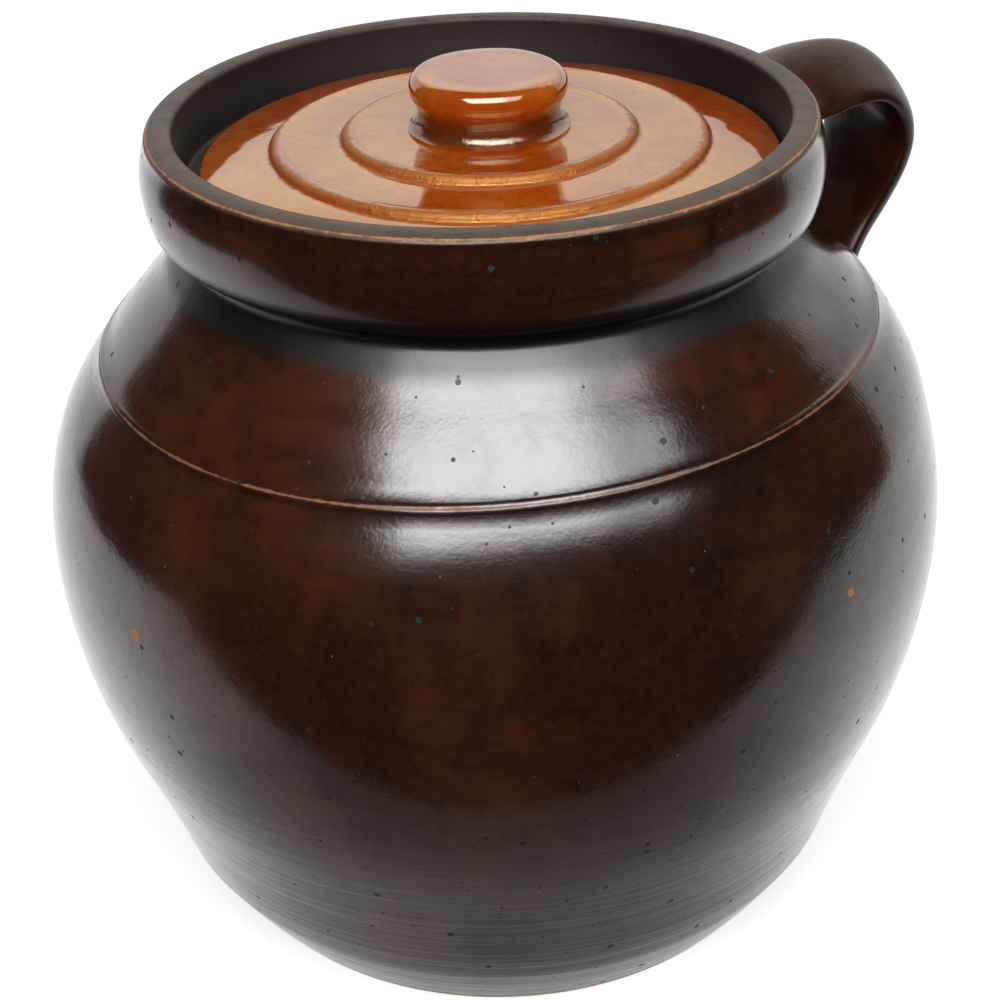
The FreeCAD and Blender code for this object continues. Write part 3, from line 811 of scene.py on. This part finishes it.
class BEANPOT_OT_handle(bpy.types.Operator):
    """Pulls the strap handle, bends it along its line and spreads its roots on to the pot"""
    bl_idname = "beanpot.handle"
    bl_label = "Handle"

    # radius and height of points along the strap, in mm, and its width and crown at shares of its length
    path = [
        (71.5, 188.4), (84, 191.3), (99.5, 192.6), (110.8, 188.2),
        (115, 178.4), (112.2, 162.6), (104.4, 150.6), (95, 141),
    ]
    widths = [(0, 44), (0.2, 43), (0.42, 39.5), (0.62, 33.5), (0.82, 27.5), (1, 31)]
    crowns = [(0, 4), (0.3, 4.6), (0.55, 6.6), (0.8, 6.2), (1, 6.4)]
    stations = [0, 0.03, 0.06, 0.095, 0.14, 0.2, 0.28, 0.36, 0.44, 0.52, 0.6, 0.68, 0.76, 0.83, 0.885, 0.925, 0.96, 1]
    upper_root, lower_root = 0.13, 0.14  # share of the length over which each root spreads
    flatness = 0.42

    def execute(self, context):
        s = settings().handle
        groups, finish = groups_and_finish()
        guide = self.guide_curve()
        strap = self.straight_strap(s, guide.data.splines[0].calc_length())
        only(strap)
        bend = strap.modifiers.new("Bend", "CURVE")
        bend.object = guide
        bend.deform_axis = "POS_X"
        bpy.ops.object.modifier_apply(modifier="Bend")
        bpy.data.objects.remove(guide)
        only(strap)
        fine = strap.modifiers.new("Fine", "SUBSURF")
        fine.levels = fine.render_levels = 2
        bpy.ops.object.modifier_apply(modifier="Fine")
        weighted(strap, "all", lambda x, y, z: 1.0)
        uneven(strap, "all", 0.5 * MM, 20 * MM)
        check_closed(strap)
        smooth(strap, 60)
        finish_piece(strap, "pot", "brown_glaze", make_handle_glaze(groups, finish), "handle")
        return {"FINISHED"}

    def guide_curve(self):
        """A curve through the path's points, in the plane of the handle."""
        guide = started("guide", bpy.ops.curve.primitive_bezier_curve_add, location=(0, 0, 0))
        guide.data.dimensions = "3D"
        guide.data.resolution_u = 32
        guide.data.twist_mode = "MINIMUM"
        spline = guide.data.splines[0]
        spline.bezier_points.add(len(self.path) - 2)
        for point, (r, z) in zip(spline.bezier_points, self.path):
            point.handle_left_type = point.handle_right_type = "AUTO"
            point.co = (r * MM, 0, z * MM)
        return guide

    def straight_strap(self, s, length):
        """The strap before it is bent: sections drawn out along +X, wide along Y and crowned towards +Z."""
        strap = started(
            "pulled_strap", bpy.ops.mesh.primitive_circle_add, vertices=20, radius=0.5, fill_type="NGON",
            location=(0, 0, 0), rotation=(0, pi / 2, 0),
        )
        bpy.ops.object.transform_apply(location=True, rotation=True, scale=True)
        bpy.ops.object.mode_set(mode="EDIT")
        bpy.ops.mesh.select_mode(type="VERT")
        was = (1.0, 1.0)
        for i, share in enumerate(self.stations):
            width, thick = self.section(s, share)
            if i:
                step = length * (share - self.stations[i - 1])
                bpy.ops.mesh.extrude_region_move(TRANSFORM_OT_translate={"value": (step, 0, 0)})
            at = (length * share, 0, 0)
            bpy.ops.transform.resize(value=(1, width / was[0], thick / was[1]), center_override=at)
            was = (width, thick)
        bpy.ops.mesh.select_all(action="SELECT")
        bpy.ops.mesh.normals_make_consistent(inside=False)
        bpy.ops.object.mode_set(mode="OBJECT")
        self.flatten_inside(strap, s)
        return strap

    def section(self, s, share):
        """Width and thickness of the strap at a share of its length, with the roots flared."""
        width = eased(self.widths, share) * MM
        thick = 2 * (s.edge / 2 + eased(self.crowns, share) * MM)
        root = max(1 - share / self.upper_root, 1 - (1 - share) / self.lower_root, 0) ** 2
        return width + s.flare * 1.2 * root, thick + s.flare * 2 * root

    def flatten_inside(self, strap, s):
        """Presses the inner face nearly flat, as a strap pulled through a wet hand is."""
        choose(strap, lambda vertex: vertex.co.z < -1e-6)
        bpy.ops.transform.resize(value=(1, 1, self.flatness), center_override=(0, 0, 0))
        bpy.ops.object.mode_set(mode="OBJECT")
        length = max(vertex.co.x for vertex in strap.data.vertices)
        down = (0, 0, -s.droop)
        for side in (-1, 1):
            moved_softly(
                strap, lambda co: co.y * side > 14.5 * MM and 0.1 * length < co.x < 0.5 * length,
                16 * MM, bpy.ops.transform.translate, value=down,
            )


def eased(table, s):
    """The value at s of a table of (place, value), eased between its places."""
    for (s0, v0), (s1, v1) in zip(table, table[1:]):
        if s <= s1:
            return v0 + (v1 - v0) * fade(s0, s1, s)
    return table[-1][1]


class BEANPOT_OT_lid(bpy.types.Operator):
    """Throws the inset lid with its two raised rings"""
    bl_idname = "beanpot.lid"
    bl_label = "Lid"

    def execute(self, context):
        s, pot = settings().lid, settings().pot
        groups, finish = groups_and_finish()
        centre = lid_centre(s)
        outline = lid_outline(s, pot.ledge_height, pot.ledge_radius)
        piece = turned_piece("thrown_lid", outline, pot.segments, centre)
        edge, under_knob = pot.ledge_height + LID_STEP, 18.5 * MM

        def on_top(x, y, z):
            from_knob = hypot(x - centre[0], y - centre[1]) - under_knob
            return fade(edge, edge + 1.2 * MM, z) * fade(0, 4 * MM, from_knob)

        weighted(piece, "top", on_top)
        uneven(piece, "top", 0.25 * MM, 11 * MM)
        smooth(piece)
        rings = [s.outer_step, s.inner_step]
        glaze = make_amber_glaze(groups, finish, "amber glaze on lid", centre, rings, [], LID_SHEEN)
        finish_piece(piece, "lid", "amber_glaze", glaze, "lid")
        return {"FINISHED"}


class BEANPOT_OT_knob(bpy.types.Operator):
    """Throws the flat-topped knob and lutes it to the lid"""
    bl_idname = "beanpot.knob"
    bl_label = "Knob"

    def execute(self, context):
        s, pot = settings().lid, settings().pot
        groups, finish = groups_and_finish()
        centre = lid_centre(s)
        piece = turned_piece("thrown_knob", knob_outline(s, pot.ledge_height + LID_TOP), 128, centre)
        weighted(piece, "cap", lambda x, y, z: fade(200.5 * MM, 203.5 * MM, z))
        uneven(piece, "cap", 0.5 * MM, 20 * MM)
        smooth(piece)
        # height and breadth of the painted shade round the knob's waist, under its cap
        waist = (pot.ledge_height + 12.8 * MM, 4.2 * MM)
        glaze = make_amber_glaze(groups, finish, "amber glaze on knob", centre, [], [waist], KNOB_SHEEN)
        finish_piece(piece, "lid", "amber_glaze", glaze, "lid_knob")
        return {"FINISHED"}


class BEANPOT_OT_stage(bpy.types.Operator):
    """Sets the floor, the dark side of the room, the lights, the world and the camera"""
    bl_idname = "beanpot.stage"
    bl_label = "Stage"

    def execute(self, context):
        s = settings().studio
        self.turn = Matrix.Rotation(s.view_turn, 4, "Z")
        self.make_floor()
        self.make_dark_side()
        self.make_world(s)
        self.make_lamp("soft light", (0, -0.9, 1.0), (1.5, 0.8), s.light)
        self.make_window("window", (0.12, -0.72, 0.98), (1.55, 0.95), s.window, 0.4, COOL)
        self.make_window("backdrop", (0.45, 1.6, 1.55), (3.6, 2.1), s.backdrop, 1.0, WARM)
        self.make_camera()
        context.scene.view_settings.view_transform = "Standard"
        return {"FINISHED"}

    def make_floor(self):
        """A pale table top that ends a little in front of the pot."""
        floor = started("floor", bpy.ops.mesh.primitive_plane_add, size=1, location=(0, 0, 0))
        place, size = Matrix.Translation((0, 1.03, -0.1 * MM)), Matrix.Diagonal((1.3, 2.4, 1, 1))
        floor.matrix_world = self.turn @ place @ size
        material, tree, shader = new_material("pale floor")
        rays = put(tree, "ShaderNodeLightPath").outputs
        x, y, z = put(tree, "ShaderNodeSeparateXYZ", [object_coordinates(tree)]).outputs
        bounced = most(rays["Is Glossy Ray"], rays["Is Transmission Ray"])
        # painted shade: for glossy rays the floor's front strip, under and in front of the pot, stops glowing and its
        # middle is painted darker grey, so the glaze mirrors a shadow there
        mirrored = times(bounced, remap(y, -0.5, -0.43, 0.0, 0.65))
        middle = remap(maths("ABSOLUTE", x), 0.18, 0.05)
        near = times(rays["Is Glossy Ray"], times(remap(y, -0.43, -0.47), middle))
        glow = most(times(rays["Is Camera Ray"], 0.58), mirrored)
        tree.links.new(mixed(near, PALE, SHADED), shader.inputs["Base Color"])
        tree.links.new(glow, shader.inputs["Emission Strength"])
        fix(shader, {"Emission Color": WHITE, "Roughness": 0.9, "Specular IOR Level": 0.0})
        floor.data.materials.append(material)

    def make_dark_side(self):
        """The unlit room on the camera's side, which only the glaze sees."""
        add = bpy.ops.mesh.primitive_uv_sphere_add
        dome = started("dark side", add, segments=48, ring_count=24, radius=3, location=(0, 0, 0))
        choose(dome, lambda face: face.center.y + 0.12 * face.center.x > 1.45, "FACE")
        bpy.ops.mesh.delete(type="FACE")
        bpy.ops.object.mode_set(mode="OBJECT")
        dome.matrix_world = self.turn
        dome.visible_camera = dome.visible_diffuse = dome.visible_shadow = False
        material, tree, shader = new_material("dark room")
        fix(shader, {"Base Color": DARK, "Roughness": 1.0, "Emission Color": NIGHT, "Emission Strength": 0.015})
        dome.data.materials.append(material)

    def make_world(self, s):
        """White behind the pot, and a plain soft light from all round."""
        world = bpy.data.worlds.new("studio")
        bpy.context.scene.world = world
        world.use_nodes = True
        tree = world.node_tree
        ground = tree.nodes["Background"]
        rays = put(tree, "ShaderNodeLightPath").outputs
        bounced = most(rays["Is Glossy Ray"], rays["Is Transmission Ray"])
        strength = scaled(most(rays["Is Camera Ray"], bounced), 1.0 - s.sky, s.sky)
        ground.inputs["Color"].default_value = WHITE
        tree.links.new(strength, ground.inputs["Strength"])

    def facing(self, place, front):
        """The matrix of something at a place that turns its front, an axis, to the pot."""
        start = Vector(place)
        aim = (Vector(AIM) - start).to_track_quat(front, "Y").to_matrix().to_4x4()
        return self.turn @ Matrix.Translation(start) @ aim

    def make_lamp(self, name, place, size, power):
        """A soft rectangular light that lights the pot and isn't seen in its glaze."""
        lamp = bpy.data.lights.new(name, "AREA")
        lamp.shape = "RECTANGLE"
        lamp.size, lamp.size_y = size
        lamp.energy = power
        thing = bpy.data.objects.new(name, lamp)
        bpy.context.scene.collection.objects.link(thing)
        thing.matrix_world = self.facing(place, "-Z")
        thing.visible_camera = thing.visible_glossy = False

    def make_window(self, name, place, size, brightness, dim, tint):
        """A bright pane that only the glaze sees, fading towards its edges, its right third dimmed."""
        pane = started(name, bpy.ops.mesh.primitive_plane_add, size=2, location=(0, 0, 0))
        pane.matrix_world = self.facing(place, "Z") @ Matrix.Diagonal((size[0] / 2, size[1] / 2, 1, 1))
        pane.visible_camera = pane.visible_diffuse = pane.visible_shadow = False
        material, tree, shader = new_material(name)
        x, y, z = put(tree, "ShaderNodeSeparateXYZ", [object_coordinates(tree)]).outputs
        across = times(remap(x, 1.0, 0.72), remap(x, -1.0, -0.78))
        across = times(across, remap(x, -0.15, -0.55, 1.0, dim))
        up = times(remap(y, -1.0, -0.2), remap(y, 1.0, 0.5))
        strength = times(times(across, up), brightness)
        glow = put(tree, "ShaderNodeEmission", {"Color": tint, "Strength": strength})
        clear = put(tree, "ShaderNodeBsdfTransparent")
        both = put(tree, "ShaderNodeAddShader", [glow.outputs[0], clear.outputs[0]])
        tree.links.new(both.outputs[0], tree.nodes["Material Output"].inputs[0])
        pane.data.materials.append(material)

    def make_camera(self):
        """The camera at the photograph's place, height and lens."""
        camera = bpy.data.cameras.new("camera")
        camera.sensor_width, camera.lens = 36, 72
        thing = bpy.data.objects.new("camera", camera)
        bpy.context.scene.collection.objects.link(thing)
        angles = (("X", pi / 2 - 0.52541), ("Y", -0.002408), ("Z", -0.036162))
        pitch, roll, yaw = [Matrix.Rotation(angle, 4, axis) for axis, angle in angles]
        thing.matrix_world = self.turn @ Matrix.Translation((0, -0.43772, 0.35135)) @ pitch @ roll @ yaw
        bpy.context.scene.camera = thing


class BeanPotSettings(bpy.types.PropertyGroup):
    """All the settings of the bean pot."""
    pot: bpy.props.PointerProperty(type=PotSizes, name="Pot", description="Sizes of the pot")
    handle: bpy.props.PointerProperty(type=HandleSizes, name="Handle", description="Sizes of the handle")
    lid: bpy.props.PointerProperty(type=LidSizes, name="Lid", description="Sizes of the lid and knob")
    finishes: bpy.props.PointerProperty(type=Finishes, name="Finishes", description="Colours of the glazes")
    studio: bpy.props.PointerProperty(type=Studio, name="Studio", description="Camera and lights")


class BEANPOT_PT_panel(bpy.types.Panel):
    """Lists the bean pot's pieces in the sidebar"""
    bl_idname = "BEANPOT_PT_panel"
    bl_label = "Bean pot"
    bl_space_type = "VIEW_3D"
    bl_region_type = "UI"
    bl_category = "Bean pot"

    def draw(self, context):
        s = context.scene.bean_pot
        for part, operator in (
            (s.pot, "beanpot.pot"), (s.handle, "beanpot.handle"), (s.lid, "beanpot.lid"),
            (None, "beanpot.knob"), (s.finishes, None), (s.studio, "beanpot.stage"),
        ):
            box = self.layout.box()
            if part is not None:
                for name in part.__annotations__:
                    box.prop(part, name)
            if operator:
                box.operator(operator)


CLASSES = (
    PotSizes, HandleSizes, LidSizes, Finishes, Studio, BeanPotSettings,
    BEANPOT_OT_pot, BEANPOT_OT_handle, BEANPOT_OT_lid, BEANPOT_OT_knob, BEANPOT_OT_stage, BEANPOT_PT_panel,
)


def register():
    for made in CLASSES:
        bpy.utils.register_class(made)
    bpy.types.Scene.bean_pot = bpy.props.PointerProperty(type=BeanPotSettings)


def unregister():
    del bpy.types.Scene.bean_pot
    for made in reversed(CLASSES):
        bpy.utils.unregister_class(made)


def main():
    register()
    bpy.ops.beanpot.pot()
    bpy.ops.beanpot.handle()
    bpy.ops.beanpot.lid()
    bpy.ops.beanpot.knob()
    bpy.ops.beanpot.stage()


if __name__ == "__main__":
    main()
